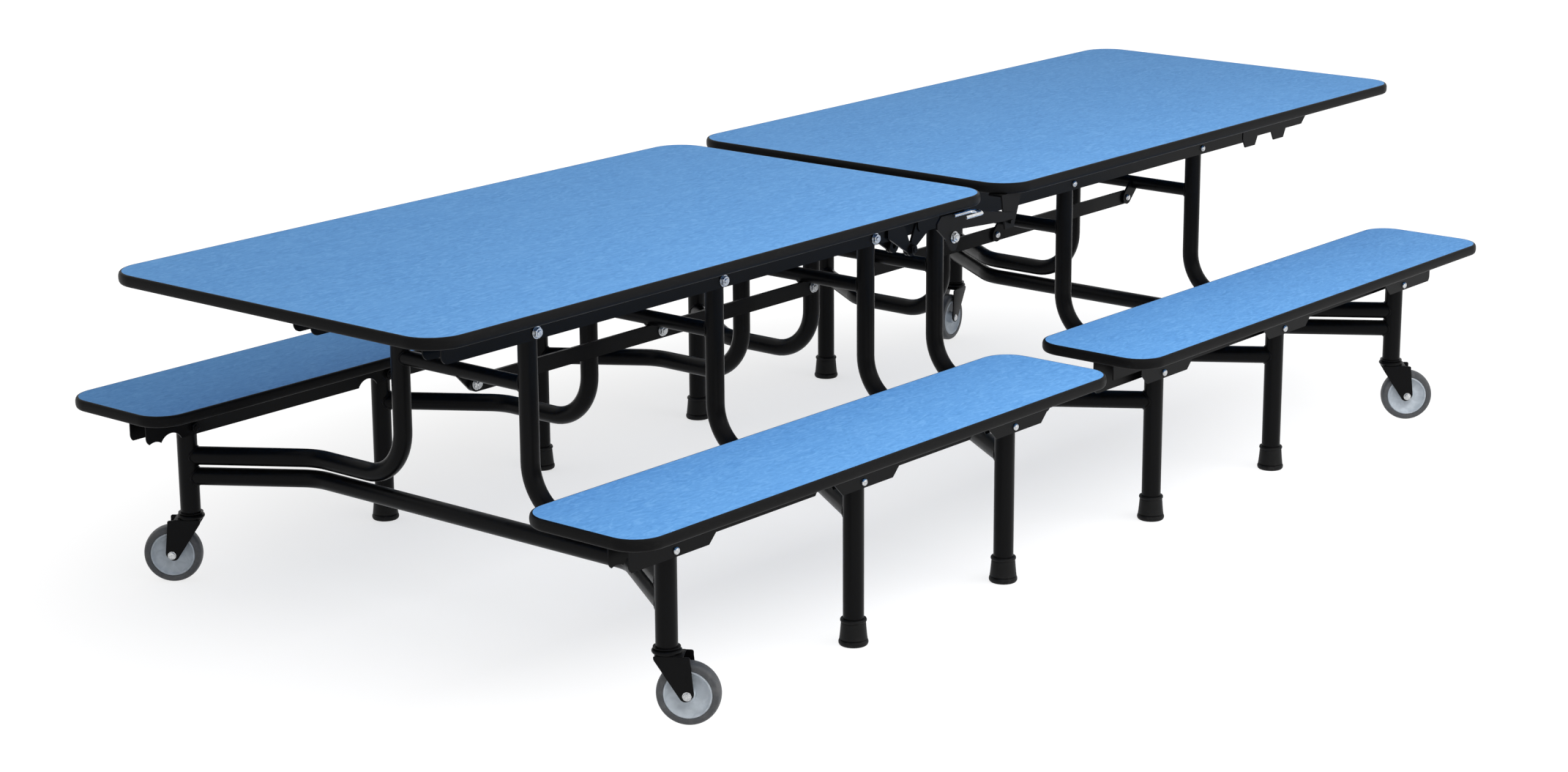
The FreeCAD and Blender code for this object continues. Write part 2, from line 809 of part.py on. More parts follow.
def tyre(label):
    """The grey tread ring around the hub, drawn about its axle along Y."""
    body = newBody(label)
    half = size("wheelWidth") / 2
    sketch = sketchOn(body, "YZ_Plane")
    rectangle(sketch, -half, half, hubRadius, wheelRadius)
    ring = revolve(body, sketch, "H_Axis")
    limit = wheelRadius.number - 1e-3

    def tread(first, last, middle):
        return math.hypot(middle.x, middle.z) > limit and abs(abs(middle.y) - half.number) < 1e-6

    fillet(body, ring, size("tyreRound"), tread)
    return body


def hub(label):
    """The pale wheel centre: rim, thin web and a boss that runs on the axle."""
    body = newBody(label)
    inset = size("hubInset")
    easing = size("hubRound")
    rim = size("wheelWidth") / 2 - inset
    web = size("hubWeb") / 2
    boss = size("hubBoss") / 2
    bossEnd = size("forkGap") / 2 - size("faceClearance")
    bore = size("axleDiameter") / 2 + size("runClearance")
    right = [(bossEnd, bore), (bossEnd, boss), (web + inset, boss + easing),
             (web, hubRadius - easing * 3), (rim - easing, hubRadius - easing - inset),
             (rim, hubRadius - easing), (rim, hubRadius)]
    left = [(-y, z) for y, z in reversed(right)]
    sketch = sketchOn(body, "YZ_Plane")
    polygon(sketch, right + left)
    revolve(body, sketch, "H_Axis")
    return body


def axle(label):
    """The axle bolt with a low domed head at each cheek."""
    body = newBody(label)
    radius = size("axleDiameter") / 2
    head = size("axleHead") / 2
    dome = size("axleDome")
    cheek = forkOutside / 2
    right = [(cheek + dome, 0), (cheek + dome, head / 2), (cheek + dome / 2, head), (cheek, head),
             (cheek, radius)]
    left = [(-y, z) for y, z in reversed(right)]
    sketch = sketchOn(body, "YZ_Plane")
    polygon(sketch, right + left)
    revolve(body, sketch, "H_Axis")
    return body


def caster(name, half, side, heading):
    """The four pieces of one caster; heading is the way its wheel trails."""
    x = (stations["end"] + size("benchOutset")) * -half
    y = benchLine * side
    wheelX = x + size("trail") * cosine(heading)
    wheelY = y + size("trail") * sine(heading)
    yaw = heading.number
    put(fork(name + "_fork"), x, y, 0, 1, yaw)
    for piece in (tyre(name + "_tyre"), hub(name + "_hub"), axle(name + "_axle")):
        put(piece, wheelX, wheelY, wheelRadius, 1, yaw)


# ---- centre latch, on the near side ----
def underPlate(label, outline, hand, plate, flange):
    """A bracket under a board: a plate along X and a flange that turns inward under the board."""
    body = newBody(label)
    sketch = sketchOn(body, "XZ_Plane")
    polygon(sketch, outline)
    feature(body, "Pad", sketch, plate)
    left = min(outline, key=lambda corner: asSize(corner[0]).number)[0]
    right = max(outline, key=lambda corner: asSize(corner[0]).number)[0]
    top = sketchOn(body, "XY_Plane", -plate)
    if hand > 0:
        rectangle(top, left, right, -plate / 2, flange)
    else:
        rectangle(top, left, right, -flange, plate / 2)
    feature(body, "Pad", top, plate, False)
    return body


def latchBracket():
    """The bracket under the left half that holds the lever's bolt, and the bolt."""
    plate = size("latchPlate")
    x = -size("latchReach")
    drop = size("latchDrop")
    head = size("latchHead")
    outline = [(x - size("latchFoot"), 0), (x - head, -drop - head), (x + head, -drop - head),
               (x + size("latchFoot"), 0)]
    bracket = underPlate("latch_bracket", outline, 1, plate, size("latchFlange"))
    drill(bracket, [(x, -drop, runHole)], plate * 3)
    put(bracket, 0, latchGap - latchLine, underTop)
    pivot = bolt("latch_bolt", latchGap + plate + size("faceClearance"))
    put(pivot, x, latchGap / 2 - size("faceClearance") / 2 - latchLine, underTop - drop)


def latchStrike():
    """The bracket under the right half, with the pin that the lever's hook drops over."""
    plate = size("latchPlate")
    x = size("strikeReach")
    drop = size("strikeDrop")
    head = size("latchHead")
    outline = [(x - size("strikeFoot"), 0), (x - head, -drop - head), (x + head, -drop - head),
               (x + size("latchFoot"), 0)]
    strike = underPlate("latch_strike", outline, 1, plate, size("latchFlange"))
    pin = sketchOn(strike, "XZ_Plane", plate / 2)
    circle(pin, x, -drop, size("strikePin") / 2)
    feature(strike, "Pad", pin, latchGap + plate / 2, False)
    put(strike, 0, latchGap - latchLine, underTop)


def latchLever():
    """The heart-shaped lever, drawn about its bolt, with the hook that reaches over the gap."""
    plate = size("latchPlate")
    x = size("latchReach") + size("strikeReach")
    z = size("latchDrop") - size("strikeDrop")
    room = size("strikePin") / 2 + size("faceClearance")
    hook = x + room
    top = size("leverTop")
    tail = size("leverTail")
    back = size("leverBack")
    front = size("leverFront")
    neck = size("leverNeck")
    corner = size("leverCorner")
    lever = newBody("latch_lever")
    sketch = sketchOn(lever, "XZ_Plane")
    polygon(sketch, [(-neck, -tail), (neck, -tail), (tail, corner), (x - tail, z + room),
                     (hook, z + room), (hook, z), (hook + neck, z),
                     (hook + neck, z + room + size("hookNose")), (front, top - neck),
                     (front - corner, top), (corner, top), (neck / 2, top - neck), (-neck, top),
                     (corner - back, top), (-back, top - corner), (-back, top / 2), (-tail, 0)])
    feature(lever, "Pad", sketch, plate)
    drill(lever, [(asSize(0), asSize(0), runHole)], plate * 3)
    put(lever, -size("latchReach"), -latchLine, underTop - size("latchDrop"))


def latchHandle():
    """The wire handle: a lying U against the lever, its closed end toward the table's middle."""
    spread = number("handleSpread")
    radius = number("handleRod") / 2
    inner = -latchLine.number - number("latchPlate") / 2 - radius
    height = underTop.number - number("handleDrop")
    start = -number("handleStart")
    end = -number("handleEnd")
    points = [Vector(start, inner - spread, height), Vector(end, inner - spread, height),
              Vector(end, inner, height), Vector(start, inner, height)]
    handle = doc.addObject("Part::Feature", "latch_handle")
    handle.Label = "latch_handle"
    handle.Shape = tube(points, [number("handleBend"), number("handleBend")], radius)


def stowBracket(label, half):
    """The shallow plate near the outer end of a half, with its two hanging lobes, on the far side."""
    start = size("stowInset") - size("topGap") / 2 - size("topLength")
    end = start + size("stowLength")
    depth = size("stowDepth")
    corner = size("stowCorner")
    slant = size("stowLobeSlant")
    bottom = -depth - size("stowLobe")
    outline = [(start, 0), (start, corner - depth), (start + corner, -depth)]
    for lobeEnd in (end - size("stowLobeSpace"), end):
        lobeStart = lobeEnd - size("stowLobeWidth")
        outline += [(lobeStart, -depth), (lobeStart + slant, bottom), (lobeEnd - slant, bottom),
                    (lobeEnd, -depth)]
    outline.append((end, 0))
    body = underPlate(label, outline, -1, size("stowPlate"), size("latchFlange"))
    put(body, 0, size("topWidth") / 2 - size("stowEdge"), underTop, half)
    return body


# ---- the whole table ----
longBolt = bolt("pivot_bolt", size("railWidth") + size("faceClearance") * 2)
shortBolt = bolt("tie_bolt", size("tieThick") + size("lugThick") + size("faceClearance") * 3)
hingeBolt = bolt("hinge_bolt", size("railWidth") + size("earThick") * 2 + size("faceClearance") * 2)
ferrule = foot("ferrule")
topMiddle = size("topGap") / 2 + size("topLength") / 2
benchMiddle = size("benchInner") + size("benchLength") / 2
for halfName, half in HALVES:
    name = halfName + "_top"
    sheetSizes = (size("topLength"), size("topWidth"), size("topCorner"))
    for piece in (board(name + "_board", *sheetSizes), edgeRing(name + "_edge", *sheetSizes)):
        put(piece, -topMiddle, 0, size("topHeight") - size("boardThick") / 2, half)
    tableRails(name, half)
    stowBracket(halfName + "_stow_bracket", half)
    tieBar(halfName + "_tie_bar", half)
    for sideName, side in (("near", -1), ("far", 1)):
        name = "%s_%s_bench" % (halfName, sideName)
        sheetSizes = (size("benchLength"), size("benchWidth"), size("benchCorner"))
        y = size("benchOffset") * (side * half)
        for piece in (board(name + "_board", *sheetSizes), edgeRing(name + "_edge", *sheetSizes)):
            put(piece, -benchMiddle, y, size("benchHeight") - size("boardThick") / 2, half)
        put(benchRail(name + "_rail", -side * half), 0, benchLine * (side * half), underBench, half)
        heading = size("swivel" + sideName.capitalize() + halfName.capitalize())
        caster("%s_%s_caster" % (halfName, sideName), half, side, heading)
    for station in stations:
        name = "%s_%s_frame" % (halfName, station)
        frame(name, station, half)
        frameBolts(name + "_bolts", station, half, longBolt, shortBolt)
        if station != "end":
            x = -stations[station].number - number("benchOutset")
            feet = [at(x, s * benchLine.number, 0) for s in (-1, 1)]
            pieces = [(ferrule, turnedHalf(half).multiply(place)) for place in feet]
            looseSet("%s_%s_feet" % (halfName, station), pieces)
eyes = [at(0, s * number("postOffset"), hingeHeight.number, 90 + 90 * s) for s in (-1, 1)]
looseSet("hinge_bolts", [(hingeBolt, place) for place in eyes])
latchBracket()
latchStrike()
latchLever()
latchHandle()

# ---- check and write ----
SCAFFOLD = {"pivot_bolt", "tie_bolt", "hinge_bolt", "ferrule"}
doc.recompute()
for obj in doc.Objects:
    if "Invalid" in obj.State or "Error" in obj.State:
        raise RuntimeError("%s did not build: %s" % (obj.Label, obj.State))

os.makedirs("parts", exist_ok=True)
written = 0
for obj in doc.Objects:
    isPiece = obj.TypeId in ("PartDesign::Body", "Part::Feature", "Part::Compound")
    if not isPiece or obj.Label in SCAFFOLD or obj.Label.endswith(("_near_rail", "_far_rail")):
        continue
    if obj.Shape.isNull() or not obj.Shape.isValid():
        raise RuntimeError("%s is not a valid shape" % obj.Label)
    obj.Shape.exportStep("parts/%s.step" % obj.Label)
    written += 1
print("wrote", written, "pieces")
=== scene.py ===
import bpy
import bmesh
import math
import numpy as np
from mathutils import Matrix, Vector


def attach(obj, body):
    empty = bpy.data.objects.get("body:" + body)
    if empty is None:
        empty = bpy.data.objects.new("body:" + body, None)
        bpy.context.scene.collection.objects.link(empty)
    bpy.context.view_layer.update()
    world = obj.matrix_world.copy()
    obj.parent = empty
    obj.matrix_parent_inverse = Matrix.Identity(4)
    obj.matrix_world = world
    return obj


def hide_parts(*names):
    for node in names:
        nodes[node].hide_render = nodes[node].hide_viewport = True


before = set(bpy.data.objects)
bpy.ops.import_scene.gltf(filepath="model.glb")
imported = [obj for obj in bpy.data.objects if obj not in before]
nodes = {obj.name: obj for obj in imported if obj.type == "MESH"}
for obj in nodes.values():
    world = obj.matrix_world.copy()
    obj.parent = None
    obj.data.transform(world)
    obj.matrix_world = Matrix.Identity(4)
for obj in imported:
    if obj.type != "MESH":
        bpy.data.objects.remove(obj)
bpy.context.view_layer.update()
print("frame loaded:", len(nodes), "nodes")

# Sizes that many pieces share, in metres. The left half has negative x.
table = {
    "topHeight": 0.686, "boardThick": 0.021, "band": 0.006,
    "topLength": 1.499, "topWidth": 0.813, "topCorner": 0.070, "topGap": 0.050,
    "benchHeight": 0.381, "benchLength": 1.342, "benchWidth": 0.273, "benchCorner": 0.060,
    "benchInner": 0.048, "benchOffset": 0.578, "benchLine": 0.598,
    "inner": 0.112, "mid": 0.564, "end": 1.060, "benchOutset": 0.138,
    "postOffset": 0.160, "elbowOffset": 0.394,
    "tablePivot": 0.577, "benchPivot": 0.305, "hingeHeight": 0.537,
    "crossHeight": 0.479, "legHeight": 0.245, "lowHeight": 0.205,
    "postRadius": 0.019, "legRadius": 0.0175, "lowRadius": 0.017, "crossRadius": 0.014,
    "tieForward": 0.030, "tieDrop": 0.030,
}
halves = (("left", 1), ("right", -1))
sides = (("near", -1), ("far", 1))
stations = ("inner", "mid", "end")


# Wraps one output socket, so that sums, differences and products of sockets add their Math nodes.
class Sock:
    def __init__(self, tree, link=None):
        self.tree = tree
        self.link = link

    # Adds a node: settings first, then values or links for its inputs.
    def node(self, kind, settings=None, inputs=None, output=0):
        made = self.tree.nodes.new(kind)
        for key, value in (settings or {}).items():
            setattr(made, key, value)
        for key, value in (inputs or {}).items():
            if isinstance(value, Sock):
                self.tree.links.new(value.link, made.inputs[key])
            else:
                made.inputs[key].default_value = value
        return Sock(self.tree, made.outputs[output])

    def math(self, operation, *values):
        return self.node("ShaderNodeMath", {"operation": operation}, dict(enumerate(values)))

    def __add__(self, other):
        return self.math("ADD", self, other)

    def __sub__(self, other):
        return self.math("SUBTRACT", self, other)

    def __rsub__(self, other):
        return self.math("SUBTRACT", other, self)

    def __mul__(self, other):
        return self.math("MULTIPLY", self, other)

    __radd__ = __add__
    __rmul__ = __mul__

    # 0 below low, 1 above high, and smooth between them
    def between(self, low, high):
        return self.node("ShaderNodeMapRange", {"interpolation_type": "SMOOTHSTEP"},
                         {0: self, 1: low, 2: high, 3: 0.0, 4: 1.0})

    # the first colour where this value is 0, the second where it is 1
    def mixed(self, first, second):
        return self.node("ShaderNodeMix", {"data_type": "RGBA"}, {0: self, 6: first, 7: second}, 2)


def coordinates(sock):
    return sock.node("ShaderNodeTexCoord", output=3)


# Object coordinates, scaled along each axis and then shifted.
def stretched(sock, scale, shift=(0.0, 0.0, 0.0)):
    return sock.node("ShaderNodeMapping", {}, {0: coordinates(sock), 1: shift, 3: scale})


def noise(sock, vector, scale, detail=2.0, rough=0.5, warp=0.0):
    return sock.node("ShaderNodeTexNoise", {}, {"Vector": vector, "Scale": scale, "Detail": detail,
                                               "Roughness": rough, "Distortion": warp})


def bump(sock, height, strength, distance):
    return sock.node("ShaderNodeBump", {}, {"Height": height, "Strength": strength, "Distance": distance})


def rgba(colour):
    return (*colour, 1.0)


# A finish: constants go straight onto the Principled socket, and recipe(sock) gives what varies.
def newFinish(name, constants, recipe):
    material = bpy.data.materials.new(name)
    material.use_nodes = True
    tree = material.node_tree
    tree.nodes.clear()
    output = tree.nodes.new("ShaderNodeOutputMaterial")
    shader = tree.nodes.new("ShaderNodeBsdfPrincipled")
    tree.links.new(shader.outputs[0], output.inputs[0])
    for key, value in constants.items():
        shader.inputs[key].default_value = value
    for key, value in recipe(Sock(tree)).items():
        tree.links.new(value.link, shader.inputs[key])
    return material


# In every look, "smooth" is the least roughness and "roughen" what the pattern adds to it.
laminateLook = {
    "base": (0.122, 0.328, 0.672), "light": (0.160, 0.382, 0.725), "dark": (0.096, 0.278, 0.600),
    "strokeScale": 62.0, "strokeStretch": (0.42, 1.0, 1.0), "strokeWarp": 2.4, "strokeShare": 0.75,
    "fineScale": 192.2, "fineStretch": (0.5, 1.0, 1.0), "fineWarp": 0.6,
    "lightFrom": 0.50, "lightTo": 0.64, "darkFrom": 0.36, "darkTo": 0.50, "darkAmount": 0.85,
    "cloudScale": 7.0, "cloudFrom": 0.35, "cloudTo": 0.7, "cloudAmount": 0.15,
    "smooth": 0.45, "roughen": 0.22, "grainStrength": 0.35, "grainDepth": 0.00022,
}


# Short wavy strokes along X: stretched noise, split into a light and a dark part.
def laminateRecipe(sock):
    look = laminateLook
    along = stretched(sock, look["strokeStretch"])
    strokes = noise(sock, along, look["strokeScale"], 3.0, 0.55, look["strokeWarp"])
    across = stretched(sock, look["fineStretch"])
    fine = noise(sock, across, look["fineScale"], 2.0, 0.5, look["fineWarp"])
    clouds = noise(sock, coordinates(sock), look["cloudScale"], 2.0)
    grain = strokes * look["strokeShare"] + fine * (1 - look["strokeShare"])
    lightPart = grain.between(look["lightFrom"], look["lightTo"])
    darkPart = 1 - grain.between(look["darkFrom"], look["darkTo"])
    cloudPart = clouds.between(look["cloudFrom"], look["cloudTo"])
    colour = lightPart.mixed(rgba(look["base"]), rgba(look["light"]))
    colour = (darkPart * look["darkAmount"]).mixed(colour, rgba(look["dark"]))
    colour = (cloudPart * look["cloudAmount"]).mixed(colour, rgba(look["light"]))
    return {"Base Color": colour, "Roughness": grain * look["roughen"] + look["smooth"],
            "Normal": bump(sock, grain, look["grainStrength"], look["grainDepth"])}


bandLook = {
    "black": (0.0060, 0.0060, 0.0062), "rubbed": (0.011, 0.011, 0.011), "rubbedAmount": 0.5,
    "markScale": 60.0, "markStretch": (1.0, 1.0, 3.0), "markFrom": 0.52, "markTo": 0.72,
    "smooth": 0.34, "roughen": 0.16, "skinScale": 900.0, "skinStrength": 0.10, "skinDepth": 0.0002,
}


# Satin plastic with faint handling marks.
def bandRecipe(sock):
    look = bandLook
    marks = noise(sock, stretched(sock, look["markStretch"]), look["markScale"], 4.0, 0.6, 0.4)
    skin = noise(sock, coordinates(sock), look["skinScale"], 2.0)
    rubbed = marks.between(look["markFrom"], look["markTo"]) * look["rubbedAmount"]
    return {"Base Color": rubbed.mixed(rgba(look["black"]), rgba(look["rubbed"])),
            "Roughness": marks * look["roughen"] + look["smooth"],
            "Normal": bump(sock, skin, look["skinStrength"], look["skinDepth"])}


paintLook = {
    "black": (0.0030, 0.0030, 0.0033), "dust": (0.022, 0.021, 0.020), "dustAmount": 0.30,
    "dustRough": 0.12, "upFrom": 0.55, "cloudScale": 26.0, "cloudFrom": 0.35, "cloudTo": 0.75,
    "smooth": 0.25, "roughen": 0.14, "peelScale": 520.0, "peelStrength": 0.12, "peelDepth": 0.00025,
}


# Powder coat: orange peel, cloudy gloss, and a little dust on what faces up.
def paintRecipe(sock):
    look = paintLook
    peel = noise(sock, coordinates(sock), look["peelScale"], 2.0, 0.55)
    clouds = noise(sock, coordinates(sock), look["cloudScale"], 4.0, 0.6)
    normal = sock.node("ShaderNodeNewGeometry", output=1)
    upward = sock.node("ShaderNodeSeparateXYZ", {}, {0: normal}, 2)
    dust = upward.between(look["upFrom"], 1.0) * clouds.between(look["cloudFrom"], look["cloudTo"])
    return {"Base Color": (dust * look["dustAmount"]).mixed(rgba(look["black"]), rgba(look["dust"])),
            "Roughness": clouds * look["roughen"] + dust * look["dustRough"] + look["smooth"],
            "Normal": bump(sock, peel, look["peelStrength"], look["peelDepth"])}


steelLook = {
    "bright": (0.66, 0.67, 0.68), "dull": (0.44, 0.45, 0.46),
    "patchScale": 260.0, "patchFrom": 0.35, "patchTo": 0.65,
    "smooth": 0.18, "roughen": 0.2, "fineScale": 1800.0, "fineStrength": 0.08, "fineDepth": 0.0001,
}


# Zinc: patches of bright and dull metal.
def steelRecipe(sock):
    look = steelLook
    patches = noise(sock, coordinates(sock), look["patchScale"], 3.0, 0.6)
    fine = noise(sock, coordinates(sock), look["fineScale"], 1.0)
    bright = patches.between(look["patchFrom"], look["patchTo"])
    return {"Base Color": bright.mixed(rgba(look["dull"]), rgba(look["bright"])),
            "Roughness": patches * look["roughen"] + look["smooth"],
            "Normal": bump(sock, fine, look["fineStrength"], look["fineDepth"])}


chromeLook = {
    "bright": (0.80, 0.81, 0.82), "dull": (0.60, 0.61, 0.62),
    "patchScale": 90.0, "patchFrom": 0.3, "patchTo": 0.7, "patchRough": 0.08,
    "lineScale": 1500.0, "lineStretch": (0.06, 1.0, 1.0), "lineStrength": 0.05, "lineDepth": 0.0001,
    "smooth": 0.06, "roughen": 0.10,
}


# Plated wire: bright, with drawn lines along it.
def chromeRecipe(sock):
    look = chromeLook
    lines = noise(sock, stretched(sock, look["lineStretch"]), look["lineScale"], 2.0)
    patches = noise(sock, coordinates(sock), look["patchScale"], 3.0)
    bright = patches.between(look["patchFrom"], look["patchTo"])
    return {"Base Color": bright.mixed(rgba(look["dull"]), rgba(look["bright"])),
            "Roughness": lines * look["roughen"] + patches * look["patchRough"] + look["smooth"],
            "Normal": bump(sock, lines, look["lineStrength"], look["lineDepth"])}


rubberLook = {
    "black": (0.0045, 0.0045, 0.0045), "worn": (0.016, 0.015, 0.015),
    "scuffScale": 85.0, "scuffFrom": 0.45, "scuffTo": 0.7, "lowFrom": 0.002, "lowTo": 0.022,
    "lowShare": 0.8, "wornRough": 0.2, "smooth": 0.45, "roughen": 0.1,
    "skinScale": 700.0, "skinStrength": 0.25, "skinDepth": 0.0002,
}


# Moulded rubber: fine skin, and scuffs low down where it meets the floor.
def rubberRecipe(sock):
    look = rubberLook
    skin = noise(sock, coordinates(sock), look["skinScale"], 3.0, 0.6)
    scuffs = noise(sock, coordinates(sock), look["scuffScale"], 4.0, 0.65, 0.5)
    height = sock.node("ShaderNodeSeparateXYZ", {}, {0: coordinates(sock)}, 2)
    low = 1 - height.between(look["lowFrom"], look["lowTo"])
    share = low * look["lowShare"] + (1 - look["lowShare"])
    worn = scuffs.between(look["scuffFrom"], look["scuffTo"]) * share
    return {"Base Color": worn.mixed(rgba(look["black"]), rgba(look["worn"])),
            "Roughness": worn * look["wornRough"] + skin * look["roughen"] + look["smooth"],
            "Normal": bump(sock, skin + scuffs, look["skinStrength"], look["skinDepth"])}


tyreLook = {
    "grey": (0.052, 0.054, 0.058), "worn": (0.115, 0.115, 0.115),
    "patchScale": 38.0, "patchFrom": 0.45, "patchTo": 0.75, "patchShare": 0.55,
    "speckleScale": 420.0, "speckleFrom": 0.5, "speckleTo": 0.75, "speckleShare": 0.25,
    "smooth": 0.42, "roughen": 0.16, "speckleStrength": 0.2, "speckleDepth": 0.00025,
}


# Grey tread: speckled, paler where it has rolled.
def tyreRecipe(sock):
    look = tyreLook
    speckle = noise(sock, coordinates(sock), look["speckleScale"], 3.0, 0.65)
    patches = noise(sock, coordinates(sock), look["patchScale"], 3.0, 0.6, 0.6)
    worn = (patches.between(look["patchFrom"], look["patchTo"]) * look["patchShare"]
            + speckle.between(look["speckleFrom"], look["speckleTo"]) * look["speckleShare"])
    return {"Base Color": worn.mixed(rgba(look["grey"]), rgba(look["worn"])),
            "Roughness": patches * look["roughen"] + look["smooth"],
            "Normal": bump(sock, speckle, look["speckleStrength"], look["speckleDepth"])}


hubLook = {
    "pale": (0.50, 0.545, 0.585), "shade": (0.40, 0.44, 0.48),
    "cloudScale": 55.0, "cloudFrom": 0.35, "cloudTo": 0.7, "cloudWarp": 0.8,
    "smooth": 0.34, "roughen": 0.16, "skinScale": 1100.0, "skinStrength": 0.08, "skinDepth": 0.00015,
}


# Moulded nylon: soft cloudiness and faint flow marks.
def hubRecipe(sock):
    look = hubLook
    clouds = noise(sock, coordinates(sock), look["cloudScale"], 3.0, 0.55, look["cloudWarp"])
    skin = noise(sock, coordinates(sock), look["skinScale"], 2.0)
    pale = clouds.between(look["cloudFrom"], look["cloudTo"])
    return {"Base Color": pale.mixed(rgba(look["shade"]), rgba(look["pale"])),
            "Roughness": clouds * look["roughen"] + look["smooth"],
            "Normal": bump(sock, skin, look["skinStrength"], look["skinDepth"])}


finishes = {
    "laminate": newFinish("laminateBlue", {"Specular IOR Level": 0.02}, laminateRecipe),
    "edge_band": newFinish("edgeBlack", {"Specular IOR Level": 0.05}, bandRecipe),
    "frame_paint": newFinish("powderBlack", {"Specular IOR Level": 0.08}, paintRecipe),
    "bolt_steel": newFinish("zincSteel", {"Metallic": 1.0}, steelRecipe),
    "handle_chrome": newFinish("wireChrome", {"Metallic": 1.0}, chromeRecipe),
    "foot_rubber": newFinish("footRubber", {"Specular IOR Level": 0.14}, rubberRecipe),
    "tyre_grey": newFinish("tyreGrey", {"Specular IOR Level": 0.4}, tyreRecipe),
    "hub_plastic": newFinish("hubNylon", {"Specular IOR Level": 0.5}, hubRecipe),
}
for node in nodes.values():
    for place, material in enumerate(node.data.materials):
        node.data.materials[place] = finishes[material.name.split(".")[0]]
print("finishes made:", len(finishes))


# Quads between neighbouring points of a grid of closed rings, which can close into a loop.
def gridFaces(rings, points, loop):
    r, p = np.meshgrid(np.arange(rings if loop else rings - 1), np.arange(points), indexing="ij")
    r2, p2 = (r + 1) % rings, (p + 1) % points
    quads = np.stack([r * points + p, r * points + p2, r2 * points + p2, r2 * points + p], axis=-1)
    return quads.reshape(-1, 4).tolist()


# A shell from rings of points, (rings, points, 3), with flat ends or closed into a loop.
def shell(rings, loop=False):
    count, points = rings.shape[:2]
    faces = gridFaces(count, points, loop)
    if not loop:
        faces.append(list(range(points)))
        faces.append(list(range((count - 1) * points, count * points)))
    return rings.reshape(-1, 3), faces


# A profile of (radius, height) turned about Z: x = r cos a, y = r sin a, z = height.
def lathe(profile, steps, loop=False):
    profile = np.asarray(profile, float)
    a = np.linspace(0, 2 * np.pi, steps, endpoint=False)
    radius, height = profile[:, :1], profile[:, 1:]
    return shell(np.stack([radius * np.cos(a), radius * np.sin(a), height + 0 * a], axis=-1), loop)


# Angles from straight down to straight up, by way of outwards.
def halfTurn(steps):
    return np.linspace(-np.pi / 2, np.pi / 2, steps)


# The profile of a rolled edge: radius - bulge + bulge cos t, middle + half sin t.
def roll(radius, bulge, middle, half, steps):
    t = halfTurn(steps)
    return np.stack([radius - bulge + bulge * np.cos(t), middle + half * np.sin(t)], 1)


# An outline whose corners are cut by tangent arcs; corners are (x, y, radius) in turning order.
def softened(corners, steps):
    c = np.asarray(corners, float)
    here, radius = c[:, :2], c[:, 2:]
    back = np.roll(here, 1, 0) - here
    ahead = np.roll(here, -1, 0) - here
    back /= np.linalg.norm(back, axis=1, keepdims=True)
    ahead /= np.linalg.norm(ahead, axis=1, keepdims=True)
    half = np.arccos(np.clip((back * ahead).sum(1, keepdims=True), -1, 1)) / 2
    reach = radius / np.tan(half)
    inward = (back + ahead) / np.linalg.norm(back + ahead, axis=1, keepdims=True)
    middle = here + inward * radius / np.sin(half)
    start = here + back * reach - middle
    end = here + ahead * reach - middle
    sweep = (np.pi - 2 * half)[:, None]
    t = np.linspace(0, 1, steps)[None, :, None]
    mix = np.sin((1 - t) * sweep) * start[:, None] + np.sin(t * sweep) * end[:, None]
    return (middle[:, None] + mix / np.maximum(np.sin(sweep), 1e-9)).reshape(-1, 2)


# Outward normals of a closed outline, from the chord between each point's neighbours.
def outlineNormals(outline):
    chord = np.roll(outline, -1, 0) - np.roll(outline, 1, 0)
    normal = np.stack([chord[:, 1], -chord[:, 0]], axis=1)
    normal /= np.maximum(np.linalg.norm(normal, axis=1, keepdims=True), 1e-12)
    x, y = outline[:, 0], outline[:, 1]
    turned = (x * np.roll(y, -1) - np.roll(x, -1) * y).sum()
    return normal if turned > 0 else -normal


# A flat plate in the XZ plane: the outline repeated through its thickness, drawn in by the edge
# rounding near both faces.
def plate(outline, thick, rounding):
    t = np.array([0.0, 0.3, 0.7, 1.0]) * np.pi / 2
    inset = rounding * (1 - np.sin(t))
    depth = thick / 2 - rounding * (1 - np.cos(t))
    inset = np.concatenate([inset, inset[::-1]])
    depth = np.concatenate([-depth, depth[::-1]])
    flat = outline[None] - outlineNormals(outline)[None] * inset[:, None, None]
    depth = np.broadcast_to(depth[:, None], flat.shape[:2])
    return shell(np.stack([flat[..., 0], depth, flat[..., 1]], -1))


# A closed round bar: circles of the radius about each point of the path, square to its direction.
def roundLoop(path, radius, sides, reference):
    tangent = np.roll(path, -1, 0) - np.roll(path, 1, 0)
    tangent /= np.linalg.norm(tangent, axis=1, keepdims=True)
    across = np.cross(tangent, np.asarray(reference, float))
    across /= np.linalg.norm(across, axis=1, keepdims=True)
    upward = np.cross(across, tangent)
    a = np.linspace(0, 2 * np.pi, sides, endpoint=False)[None, :, None]
    circles = np.cos(a) * across[:, None] + np.sin(a) * upward[:, None]
    return shell(path[:, None] + radius[:, None, None] * circles, loop=True)


# Moves shells: turned about Z by yaw in degrees, then shifted.
def moved(shells, shift=(0, 0, 0), yaw=0.0):
    c, s = math.cos(math.radians(yaw)), math.sin(math.radians(yaw))
    turn = np.array([[c, -s, 0], [s, c, 0], [0, 0, 1]])
    return [(verts @ turn.T + np.asarray(shift, float), faces) for verts, faces in shells]


# Stands shells that were made about Z along Y instead.
def alongY(shells):
    return [(verts[:, [0, 2, 1]], faces) for verts, faces in shells]


